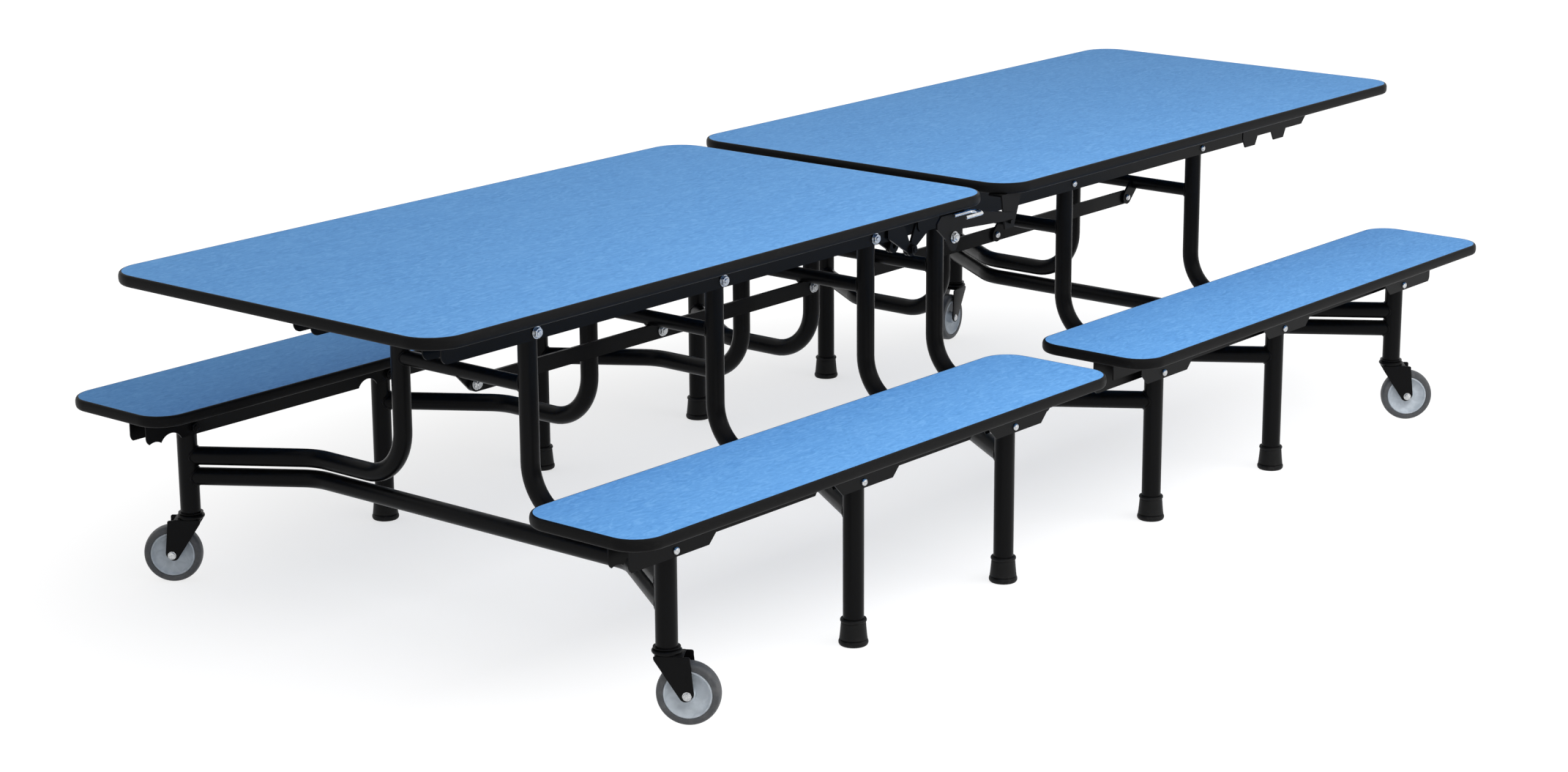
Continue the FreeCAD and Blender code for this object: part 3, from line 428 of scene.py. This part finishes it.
# Makes one object of the shells, riding a body; 'sharp' is the angle past which an edge stays sharp.
def piece(name, shells, body, slotName, replaces=(), sharp=35.0):
    verts = np.concatenate([v for v, _ in shells])
    starts = np.cumsum([0] + [len(v) for v, _ in shells])
    faces = [[start + k for k in face] for start, (_, part) in zip(starts, shells) for face in part]
    mesh = bpy.data.meshes.new(name)
    mesh.from_pydata(verts.tolist(), [], faces)
    work = bmesh.new()
    work.from_mesh(mesh)
    bmesh.ops.recalc_face_normals(work, faces=work.faces)
    work.to_mesh(mesh)
    work.free()
    mesh.shade_smooth()
    mesh.set_sharp_from_angle(angle=math.radians(sharp))
    mesh.materials.append(finishes[slotName])
    obj = bpy.data.objects.new(name, mesh)
    bpy.context.collection.objects.link(obj)
    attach(obj, body)
    if replaces:
        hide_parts(*replaces)


view = {"place": (-4.9898, -4.0034, 1.9524), "yaw": 50.280, "down": 15.098, "roll": 0.334,
        "lens": 74.86, "sensor": 36.0, "farClip": 60.0}


def aimCamera():
    yaw, down = math.radians(view["yaw"]), math.radians(view["down"])
    ahead = Vector((math.sin(yaw) * math.cos(down), math.cos(yaw) * math.cos(down), -math.sin(down)))
    level = ahead.to_track_quat("-Z", "Y").to_matrix()
    turn = level @ Matrix.Rotation(math.radians(-view["roll"]), 3, "Z")
    lens = bpy.data.cameras.new("camera")
    lens.lens = view["lens"]
    lens.sensor_width = view["sensor"]
    lens.clip_end = view["farClip"]
    camera = bpy.data.objects.new("camera", lens)
    camera.matrix_world = Matrix.Translation(view["place"]) @ turn.to_4x4()
    bpy.context.collection.objects.link(camera)
    bpy.context.scene.camera = camera


# The paper floor shows 'veil' of its own white glow, so that the object's shadow on it stays faint.
# The glow grows to full between the two distances from the middle, measured in an oval about (0, 0.3) that
# is longer along X; inside it less glow shows, which is a painted shadow round the object.
studio = {
    "world": 0.56, "floor": (0.90, 0.90, 0.90), "floorReach": 22.0,
    "paintedShadowOval": (0.60, 1.0, 1.0), "paintedShadowShift": (0.0, -0.3, 0.0),
    "paintedShadowStart": 0.50, "paintedShadowEnd": 1.40, "veil": 0.57, "glow": 1.12,
    "lamps": [  # place, aim, size x, size y, watts, whether it shows in gloss
        ((0.2, 0.2, 3.4), (0.0, 0.0, 0.5), 3.0, 1.6, 5.0, True),
        ((-0.3, -1.8, 1.65), (-0.3, -0.6, 0.38), 3.6, 0.8, 44.0, False),
        ((1.0, -5.2, 1.7), (0.0, 0.0, 0.4), 2.6, 2.4, 28.0, True),
    ],
}


# 1 for the rays that show the background: from the camera, or off a mirror or through glass,
# which are outputs 0, 3 and 6 of Light Path
def backgroundRay(sock):
    seen = sock.node("ShaderNodeLightPath")
    for output in (3, 6):
        seen = sock.math("MAXIMUM", seen, sock.node("ShaderNodeLightPath", output=output))
    return seen


def makeWorld():
    world = bpy.data.worlds.new("studio")
    bpy.context.scene.world = world
    world.use_nodes = True
    tree = world.node_tree
    tree.nodes.clear()
    sock = Sock(tree)
    strength = backgroundRay(sock) * (1.0 - studio["world"]) + studio["world"]
    sky = sock.node("ShaderNodeBackground", {}, {0: (1, 1, 1, 1), 1: strength})
    output = tree.nodes.new("ShaderNodeOutputWorld")
    tree.links.new(sky.link, output.inputs[0])


def makeFloor():
    reach = studio["floorReach"]
    mesh = bpy.data.meshes.new("floor")
    mesh.from_pydata([(-reach, -reach, 0), (reach, -reach, 0), (reach, reach, 0), (-reach, reach, 0)], [],
                     [(0, 1, 2, 3)])
    floor = bpy.data.objects.new("floor", mesh)
    bpy.context.collection.objects.link(floor)
    material = bpy.data.materials.new("floorPaper")
    material.use_nodes = True
    tree = material.node_tree
    tree.nodes.clear()
    sock = Sock(tree)
    paper = sock.node("ShaderNodeBsdfDiffuse", {}, {0: rgba(studio["floor"])})
    white = sock.node("ShaderNodeEmission", {}, {0: (1, 1, 1, 1), 1: studio["glow"]})
    oval = stretched(sock, studio["paintedShadowOval"], studio["paintedShadowShift"])
    distance = sock.node("ShaderNodeVectorMath", {"operation": "LENGTH"}, {0: oval}, 1)
    # painted shadow: near the middle the floor shows less of its glow, so it is darker there
    far = distance.between(studio["paintedShadowStart"], studio["paintedShadowEnd"])
    share = (far * (1.0 - studio["veil"]) + studio["veil"]) * backgroundRay(sock)
    surface = sock.node("ShaderNodeMixShader", {}, {0: share, 1: paper, 2: white})
    output = tree.nodes.new("ShaderNodeOutputMaterial")
    tree.links.new(surface.link, output.inputs[0])
    mesh.materials.append(material)


def makeLamps():
    for count, (place, aim, wide, tall, watts, shines) in enumerate(studio["lamps"]):
        lamp = bpy.data.lights.new("softbox%d" % count, "AREA")
        lamp.shape = "RECTANGLE"
        lamp.size, lamp.size_y, lamp.energy = wide, tall, watts
        stand = bpy.data.objects.new("softbox%d" % count, lamp)
        stand.location = place
        stand.rotation_euler = (Vector(aim) - Vector(place)).to_track_quat("-Z", "Y").to_euler()
        stand.visible_camera = False  # a lamp never stands in the picture, whatever the view
        stand.visible_glossy = shines
        bpy.context.collection.objects.link(stand)


aimCamera()
makeWorld()
makeFloor()
makeLamps()
bpy.context.scene.view_settings.view_transform = "Standard"
print("camera and studio set")


bandShape = {"fullness": 2.5, "sectionSteps": 17, "cornerSteps": 15}


# The section is a half superellipse, x = b cos^(2/n) t and z = h sin^(2/n) t, carried round a
# rectangle with round corners; the inner wall closes it.
def bandRing(halfX, halfY, corner, thick):
    path = softened([(halfX, -halfY, corner), (halfX, halfY, corner), (-halfX, halfY, corner),
                     (-halfX, -halfY, corner)], bandShape["cornerSteps"])
    t = -halfTurn(bandShape["sectionSteps"])
    power = 2 / bandShape["fullness"]
    out = table["band"] * np.abs(np.cos(t)) ** power - table["band"]
    up = thick / 2 * np.sign(np.sin(t)) * np.abs(np.sin(t)) ** power
    section = np.stack([out, up], 1)
    normal = outlineNormals(path)
    rings = path[:, None] + normal[:, None] * section[None, :, :1]
    height = np.broadcast_to(section[None, :, 1:], (*rings.shape[:2], 1))
    return shell(np.concatenate([rings, height], -1), loop=True)


def makeBands():
    thick = table["boardThick"]
    for name, half in halves:
        ring = bandRing(table["topLength"] / 2, table["topWidth"] / 2, table["topCorner"], thick)
        middle = -(table["topGap"] + table["topLength"]) / 2 * half
        piece(name + "_top_band", moved([ring], (middle, 0, table["topHeight"] - thick / 2)),
              name + "_top", "edge_band", (name + "_top_edge",))
        for sideName, side in sides:
            ring = bandRing(table["benchLength"] / 2, table["benchWidth"] / 2, table["benchCorner"], thick)
            middle = -(table["benchInner"] + table["benchLength"] / 2) * half
            place = (middle, table["benchOffset"] * side, table["benchHeight"] - thick / 2)
            bench = "%s_%s_bench" % (name, sideName)
            piece(bench + "_band", moved([ring], place), bench, "edge_band", (bench + "_edge",))


makeBands()
print("edge bands made")


boltShape = {
    "across": 0.017, "nut": 0.0065, "chamfer": 0.0012, "coneShare": 0.96, "nutSteps": 48,
    "washer": 0.0115, "washerThick": 0.0014, "washerLip": 0.0003, "washerSteps": 40,
    "shank": 0.005, "thread": 0.002, "threadCut": 0.0008, "threadSteps": 32,
    "headRadius": 0.0070, "head": 0.0048, "headPower": 0.6, "headSteps": 40,
    "longGrip": 0.0478, "shortGrip": 0.0122, "hingeGrip": 0.0578, "latchGrip": 0.0088,
    "tieShift": 0.0027, "latchPlace": (-0.130, -0.384, 0.611),
}


# A hexagonal nut whose corners are cut by cones: at each height the radius is the smaller of the
# hexagon's r = (w/2) / cos(a folded into 60 degrees) and the cone's radius.
def hexNut(height):
    s = boltShape
    across, chamfer = s["across"], s["chamfer"]
    a = np.linspace(0, 2 * np.pi, s["nutSteps"], endpoint=False)
    folded = (a + np.pi / 6) % (np.pi / 3) - np.pi / 6
    z = np.array([0.0, 0.3, 0.6, 1.0]) * chamfer
    start = across / 2 * s["coneShare"]
    cone = start + z * (across / np.sqrt(3) - start) / chamfer
    heights = np.concatenate([z, height - z[::-1]])[:, None]
    radius = np.minimum(across / 2 / np.cos(folded)[None], np.concatenate([cone, cone[::-1]])[:, None])
    return shell(np.stack([radius * np.cos(a), radius * np.sin(a), heights + 0 * radius], -1))


# One bolt along Y: washer, nut and thread end toward -Y, and a round head toward +Y whose profile is
# r = R cos^0.6 t, z = h sin t.
def bolt(grip):
    s = boltShape
    shank, washer, thick, lip = s["shank"], s["washer"], s["washerThick"], s["washerLip"]
    ring = lathe([(shank, 0), (washer - lip, 0), (washer, lip), (washer, thick - lip),
                  (washer - lip, thick), (shank, thick)], s["washerSteps"])
    nut = moved([hexNut(s["nut"] - thick)], (0, 0, thick))
    end, cut = s["nut"] + s["thread"], s["threadCut"]
    stub = lathe([(shank, 0), (shank, end - cut), (shank - cut, end)], s["threadSteps"])
    t = np.linspace(0, np.pi / 2, 11)[:-1]
    dome = np.stack([s["headRadius"] * np.cos(t) ** s["headPower"], s["head"] * np.sin(t)], 1)
    head = lathe(np.concatenate([[(shank, 0)], dome]), s["headSteps"])
    nutEnd = [(v * (1, -1, 1) - (0, grip / 2, 0), f) for v, f in alongY([ring] + nut + [stub])]
    return nutEnd + [(v + (0, grip / 2, 0), f) for v, f in alongY([head])]


# The nut ends at the benches and the hinge bolts are painted over with the rails; the rest is bright.
def makeBolts():
    s = boltShape
    for name, half in halves:
        for station in stations:
            x = -table[station]
            bright, dark = [], []
            for _, side in sides:
                bright += moved(bolt(s["longGrip"]), (x, side * table["postOffset"], table["tablePivot"]))
                bench = (x - table["benchOutset"], side * table["benchLine"], table["benchPivot"])
                benchBolt = moved(bolt(s["longGrip"]), bench, 0 if side > 0 else 180)
                dark += benchBolt[:-1]
                bright += benchBolt[-1:]
            tie = (x + table["tieForward"], s["tieShift"], table["crossHeight"] - table["tieDrop"])
            bright += moved(bolt(s["shortGrip"]), tie)
            body = "%s_%s_frame" % (name, station)
            turn = 0 if half > 0 else 180
            piece(body + "_bolt_set", moved(bright, yaw=turn), body, "bolt_steel", (body + "_bolts",))
            piece(body + "_bench_nuts", moved(dark, yaw=turn), body, "frame_paint", (body + "_bolts",))
    pair = moved(bolt(s["hingeGrip"]), (0, -table["postOffset"], table["hingeHeight"]))
    pair += moved(bolt(s["hingeGrip"]), (0, table["postOffset"], table["hingeHeight"]), 180)
    piece("hinge_bolt_set", pair, "left_top", "frame_paint", ("hinge_bolts",))
    latch = moved(bolt(s["latchGrip"]), s["latchPlace"])
    piece("latch_bolt_set", latch, "left_top", "bolt_steel", ("latch_bolt",))


makeBolts()
print("bolts made")


footShape = {
    "height": 0.050, "post": 0.0191, "sole": 0.008, "bore": 0.004, "soleIn": 0.006, "rim": 0.027,
    "bandBulge": 0.004, "bandMiddle": 0.006, "bandHalf": 0.0058,
    "wallIn": 0.0016, "wallFoot": 0.0125, "wallRise": 0.029, "wallPower": 0.8, "neck": 0.0225,
    "lip": 0.024, "lipBulge": 0.0022, "lipMiddle": 0.0468, "lipHalf": 0.0032,
    "curveSteps": 9, "steps": 56, "sharp": 50,
}


# A lathe profile: sole, rounded bottom band, flaring wall and a rolled lip round the post.
def ferrule():
    s = footShape
    t = np.linspace(0, 1, s["curveSteps"])
    foot = s["rim"] - s["wallIn"]
    wall = np.stack([foot - (foot - s["neck"]) * t ** s["wallPower"], s["wallFoot"] + s["wallRise"] * t], 1)
    band = roll(s["rim"], s["bandBulge"], s["bandMiddle"], s["bandHalf"], s["curveSteps"])
    lip = roll(s["lip"], s["lipBulge"], s["lipMiddle"], s["lipHalf"], s["curveSteps"])
    under = [(s["bore"], 0.0), (s["rim"] - s["soleIn"], 0.0)]
    socket = [(s["post"], s["height"]), (s["post"], s["sole"]), (s["bore"], s["sole"])]
    return lathe(np.concatenate([under, band, wall, lip, socket]), s["steps"])


def makeFeet():
    for name, half in halves:
        for station in ("inner", "mid"):
            x = -(table[station] + table["benchOutset"]) * half
            shells = []
            for _, side in sides:
                shells += moved([ferrule()], (x, side * table["benchLine"], 0))
            label = "%s_%s" % (name, station)
            piece(label + "_ferrules", shells, label + "_frame", "foot_rubber", (label + "_feet",),
                  footShape["sharp"])


makeFeet()
print("feet made")


# x runs from the swivel axis toward the wheel; headings are degrees from +X.
casterShape = {
    "trail": 0.036, "axle": 0.055, "gap": 0.036, "wall": 0.003, "rounding": 0.0009,
    "headings": {"left_near": -58, "left_far": 130, "right_near": -52, "right_far": 190},
}
tyreShape = {
    "radius": 0.055, "half": 0.015, "acrossPower": 0.75, "drop": 0.0075, "dropPower": 0.8,
    "grooves": (-0.0058, 0.0, 0.0058), "grooveWide": 0.0006, "grooveDeep": 0.0004,
    "lipOut": 0.0012, "lipIn": 0.0010, "acrossSteps": 49, "steps": 96,
}
hubShape = {
    "radius": 0.042, "edge": 0.0130, "bore": 0.0041, "boss": 0.013, "bossEnd": 0.0176,
    "bossCut": 0.001, "bossFlare": 0.0004, "bossFoot": 0.0065,
    "discFrom": 0.0145, "discTo": 0.0365, "discLow": 0.0052, "discRise": 0.0062, "discPower": 3.0,
    "rim": [(0.0380, 0.0134), (0.0392, 0.0146), (0.0405, 0.0146), (0.0413, 0.0138)], "sharp": 40,
}
forkShape = {
    "top": 0.124, "sink": 0.0008, "front": -0.020, "frontFoot": 0.117, "frontRound": 0.010,
    "back": 0.042, "backFoot": 0.115, "backRound": 0.006,
    "arm": [(0.0482, 0.0555, 0.0115), (0.0365, 0.0430, 0.0115), (0.0262, 0.0460, 0.0100)],
    "crownBack": 0.030, "crownIn": 0.0006, "crownFrontRound": 0.012, "crownBackRound": 0.004,
}
raceShape = {
    "race": 0.026, "bulge": 0.0035, "rise": 0.0038, "half": 0.0036, "bore": 0.006, "top": 0.1356,
    "collar": 0.0235, "flare": 0.0042, "flareDrop": 0.0036, "flareRise": 0.0026,
    "lipThick": 0.0004, "lipIn": 0.0005, "steps": 64,
}
pinShape = {
    "radius": 0.0039, "washer": 0.0078, "washerEdge": 0.0011, "washerThick": 0.0012,
    "head": 0.0065, "headRise": 0.0028, "headPower": 0.8,
    "dimple": [(0.0021, 0.0039), (0.0012, 0.0031), (0.0003, 0.0029)],
    "inner": [(0.003, 0.0), (0.0039, 0.001)], "steps": 40, "sharp": 50,
}


# The tread is a superellipse across the wheel with three shallow grooves, r = R - drop(y).
def tyreShell():
    s = tyreShape
    t = halfTurn(s["acrossSteps"])
    across = s["half"] * np.sign(np.sin(t)) * np.abs(np.sin(t)) ** s["acrossPower"]
    radius = s["radius"] - s["drop"] * (1 - np.abs(np.cos(t)) ** s["dropPower"])
    groove = sum(np.exp(-((across - y) / s["grooveWide"]) ** 2) for y in s["grooves"])
    outer = np.stack([radius - s["grooveDeep"] * groove, across], 1)
    hub, edge = hubShape["radius"], s["half"]
    inner = [(hub + s["lipOut"], edge), (hub, edge - s["lipIn"]),
             (hub, -edge + s["lipIn"]), (hub + s["lipOut"], -edge)]
    return alongY([lathe(np.concatenate([outer, inner]), s["steps"], loop=True)])


# Half the hub's side is a run of points from the bore out: boss, concave disc, and a thin raised rim.
def hubShell():
    s = hubShape
    t = np.linspace(0, 1, 13)
    disc = np.stack([s["discFrom"] + (s["discTo"] - s["discFrom"]) * t,
                     s["discLow"] + s["discRise"] * t ** s["discPower"]], 1)
    boss = [(s["bore"], s["bossEnd"]), (s["boss"] - s["bossCut"], s["bossEnd"]),
            (s["boss"], s["bossEnd"] - s["bossCut"]), (s["boss"] + s["bossFlare"], s["bossFoot"])]
    side = np.concatenate([boss, disc, s["rim"] + [(s["radius"], s["edge"])]])
    return alongY([lathe(np.concatenate([side, side[::-1] * (1, -1)]), tyreShape["steps"], loop=True)])


# The cheeks are plates whose outline runs from the crown down to a round end about the axle.
def forkShells():
    s, c = forkShape, casterShape
    high = s["top"] - s["sink"]
    outline = softened([(s["front"], s["frontFoot"], s["frontRound"]), (s["front"], high, 0.003),
                        (s["back"], high, 0.004), (s["back"], s["backFoot"], s["backRound"]), *s["arm"]], 9)
    cheek = plate(outline, c["wall"], c["rounding"])
    offset = c["gap"] / 2 + c["wall"] / 2
    half = c["gap"] / 2 + c["wall"] - s["crownIn"]
    front, back = s["front"], s["crownBack"]
    frontRound, backRound = s["crownFrontRound"], s["crownBackRound"]
    plan = softened([(front, -half, frontRound), (back, -half, backRound), (back, half, backRound),
                     (front, half, frontRound)], 9)
    crown = alongY([plate(plan, c["wall"], c["rounding"])])
    return (moved([cheek], (0, offset, 0)) + moved([cheek], (0, -offset, 0))
            + moved(crown, (0, 0, s["top"] - c["wall"] / 2)))


# Stacked rings on the crown: a fat rolled race, a waist, and a collar that flares out to a thin lip.
def raceShell():
    s, low = raceShape, forkShape["top"]
    race = roll(s["race"], s["bulge"], low + s["rise"], s["half"], 11)
    u = np.linspace(0, 1, 6)
    flare = np.stack([s["collar"] - s["flare"] * (1 - u) ** 2,
                      s["top"] - s["flareDrop"] + s["flareRise"] * u], 1)
    lip = [(s["collar"], s["top"] - s["lipThick"]), (s["collar"] - s["lipIn"], s["top"]),
           (s["bore"], s["top"])]
    return lathe(np.concatenate([[(s["bore"], low)], race, flare, lip]), s["steps"])


# A domed head with a small dimple, on a washer.
def axleShells():
    s = pinShape
    out = casterShape["gap"] / 2 + casterShape["wall"]
    t = np.linspace(0, np.pi / 2, 9)[:-1]
    dome = np.stack([s["head"] * np.cos(t) ** s["headPower"],
                     out + s["washerThick"] + s["headRise"] * np.sin(t)], 1)
    washer = [(s["radius"], out), (s["washer"], out), (s["washer"], out + s["washerEdge"])]
    dimple = [(radius, out + height) for radius, height in s["dimple"]]
    near = alongY([lathe(np.concatenate([s["inner"], washer, dome, dimple]), s["steps"])])
    return near + [(v * (1, -1, 1), f) for v, f in near]


def makeCasters():
    s = casterShape
    atAxle = (s["trail"], 0, s["axle"])
    for name, half in halves:
        for sideName, side in sides:
            label = "%s_%s" % (name, sideName)
            yaw = s["headings"][label]
            post = (-(table["end"] + table["benchOutset"]) * half, table["benchLine"] * side, 0)
            tread, disc, pin = (moved(moved(shells, atAxle), post, yaw)
                                for shells in (tyreShell(), hubShell(), axleShells()))
            horn = moved(forkShells() + [raceShell()], post, yaw)
            caster = label + "_caster"
            wheel, fork = caster + "_wheel", caster + "_fork"
            piece(caster + "_tread", tread, wheel, "tyre_grey", (caster + "_tyre",))
            piece(caster + "_disc", disc, wheel, "hub_plastic", (caster + "_hub",), hubShape["sharp"])
            piece(caster + "_pin", pin, fork, "bolt_steel", (caster + "_axle",), pinShape["sharp"])
            piece(caster + "_horn", horn, fork, "frame_paint", (fork,))


makeCasters()
print("casters made")


beadShape = {"radius": 0.0022, "ripple": 0.00025, "ripples": 26, "steps": 72, "sides": 8}


# A bead where a tube meets a post: the tube's surface point o + ra (cos a e1 + sin a e2) + s d, with s
# solved so that it also lies on the upright post's surface.
def bead(centre, direction, tubeRadius, post, postRadius):
    b = beadShape
    d = np.asarray(direction, float) / np.linalg.norm(direction)
    e1 = np.cross(d, (0, 0, 1.0))
    e1 /= np.linalg.norm(e1)
    e2 = np.cross(e1, d)
    a = np.linspace(0, 2 * np.pi, b["steps"], endpoint=False)[:, None]
    start = np.asarray(centre, float) + tubeRadius * (np.cos(a) * e1 + np.sin(a) * e2)
    flat = (start - np.asarray(post, float))[:, :2]
    along = d[:2]
    p = (flat * along).sum(1) / (along @ along)
    q = ((flat ** 2).sum(1) - postRadius ** 2) / (along @ along)
    s = -p + np.sqrt(np.maximum(p * p - q, 0))
    size = b["radius"] + b["ripple"] * np.sin(a[:, 0] * b["ripples"])
    return roundLoop(start + s[:, None] * d, size, b["sides"], d)


def makeBeads():
    postRadius, legRadius = table["postRadius"], table["legRadius"]
    for name, half in halves:
        for station in stations:
            x = -table[station]
            shells = []
            for _, side in sides:
                outer = (x - table["benchOutset"], side * table["benchLine"])
                run = (table["benchOutset"], side * (table["elbowOffset"] - table["benchLine"]), 0)
                tubes = [(table["legHeight"], legRadius)]
                if station == "end":
                    tubes.append((table["lowHeight"], table["lowRadius"]))
                for height, radius in tubes:
                    shells.append(bead((*outer, height), run, radius, (*outer, 0), postRadius))
                inner = (x, side * table["postOffset"], table["crossHeight"])
                shells.append(bead(inner, (0, -side, 0), table["crossRadius"], inner, legRadius))
            body = "%s_%s_frame" % (name, station)
            piece(body + "_welds", moved(shells, yaw=0 if half > 0 else 180), body, "frame_paint")


makeBeads()
print("welds made")
